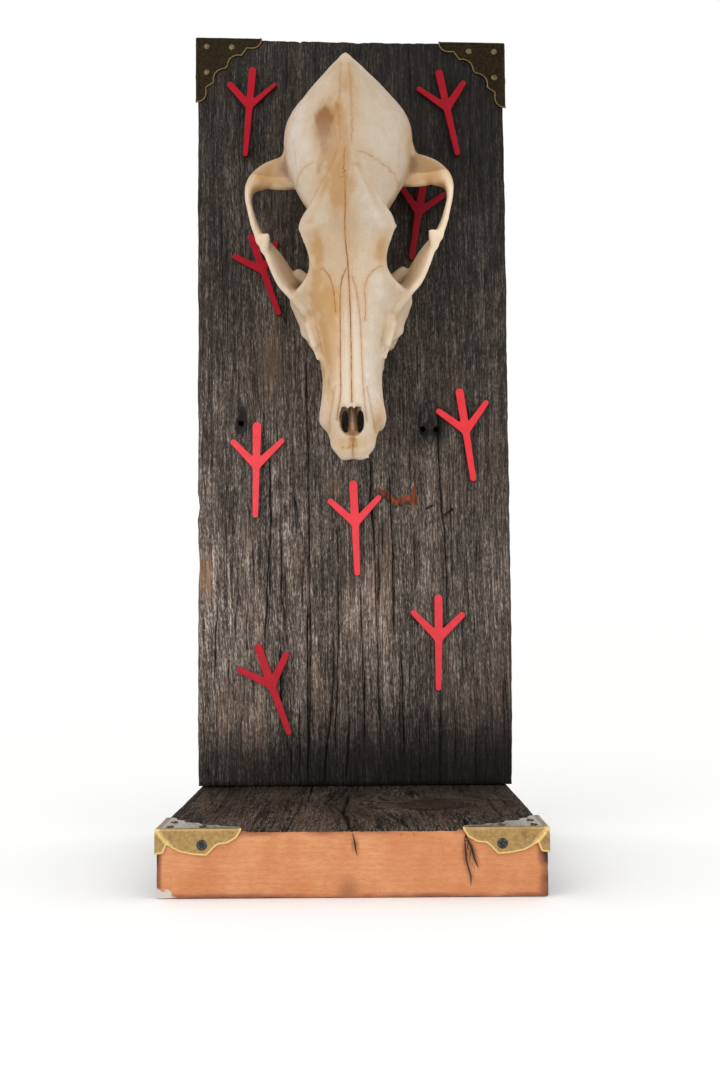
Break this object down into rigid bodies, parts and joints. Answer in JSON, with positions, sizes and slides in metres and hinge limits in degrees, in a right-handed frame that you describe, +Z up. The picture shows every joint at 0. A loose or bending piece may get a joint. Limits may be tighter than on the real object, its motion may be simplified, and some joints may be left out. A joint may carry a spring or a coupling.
{
  "type": "coyote skull on a wooden wall shelf",
  "caption": "Bare coyote skull without its lower jaw, nose down on an upright weathered board that stands on a small shelf, with brass corner plates and red bird tracks.",
  "frame": {"origin": "middle of the footprint, on the underside of the shelf", "axes": "+X to the right seen from the front, the front faces -Y, +Z up along the board; the skull's nose points down"},
  "size_m": [0.1554, 0.1832, 0.3969],
  "materials": {
    "bone": "dry matte bone, ivory to tan, with brown staining and dark sutures",
    "enamel": "smooth ivory enamel",
    "barn_board": "weathered grey-brown rough-sawn wood with open grain and drying cracks",
    "shelf_wood": "weathered dark top and sides, sanded warm end grain in front",
    "antique_brass": "aged brass, dark in the hollows and bright on the rolled rims",
    "brass_pin": "aged brass",
    "dark_screw": "darkened steel",
    "long_screw": "dull steel",
    "red_paint": "red painted thin wood with dark scorched edges"
  },
  "bodies": {
    "root": {"skull": "bone", "canine_left": "enamel", "canine_right": "enamel", "premolar_1_left": "enamel", "premolar_1_right": "enamel", "premolar_2_left": "enamel", "premolar_2_right": "enamel", "premolar_3_left": "enamel", "premolar_3_right": "enamel", "premolar_4_left": "enamel", "premolar_4_right": "enamel", "molar_1_left": "enamel", "molar_1_right": "enamel", "molar_2_left": "enamel", "molar_2_right": "enamel", "skull_screw_1": "long_screw", "skull_screw_2": "long_screw", "shelf_screw_1": "long_screw", "shelf_screw_2": "long_screw", "corner_top_left_nail_1": "brass_pin", "corner_top_left_nail_2": "brass_pin", "corner_top_left_nail_3": "brass_pin", "corner_top_left_screw_1": "dark_screw", "corner_top_left_screw_2": "dark_screw", "corner_top_left": "antique_brass", "corner_top_right_nail_1": "brass_pin", "corner_top_right_nail_2": "brass_pin", "corner_top_right_nail_3": "brass_pin", "corner_top_right_screw_1": "dark_screw", "corner_top_right_screw_2": "dark_screw", "corner_top_right": "antique_brass", "corner_shelf_left_nail_1": "brass_pin", "corner_shelf_left_nail_2": "brass_pin", "corner_shelf_left_nail_3": "brass_pin", "corner_shelf_left_screw_1": "dark_screw", "corner_shelf_left_screw_2": "dark_screw", "corner_shelf_left": "antique_brass", "corner_shelf_right_nail_1": "brass_pin", "corner_shelf_right_nail_2": "brass_pin", "corner_shelf_right_nail_3": "brass_pin", "corner_shelf_right_screw_1": "dark_screw", "corner_shelf_right_screw_2": "dark_screw", "corner_shelf_right": "antique_brass", "board": "barn_board", "shelf": "shelf_wood", "track_1": "red_paint", "track_2": "red_paint", "track_3": "red_paint", "track_4": "red_paint", "track_5": "red_paint", "track_6": "red_paint", "track_7": "red_paint", "track_8": "red_paint", "track_9": "red_paint"}
  },
  "joints": []
}
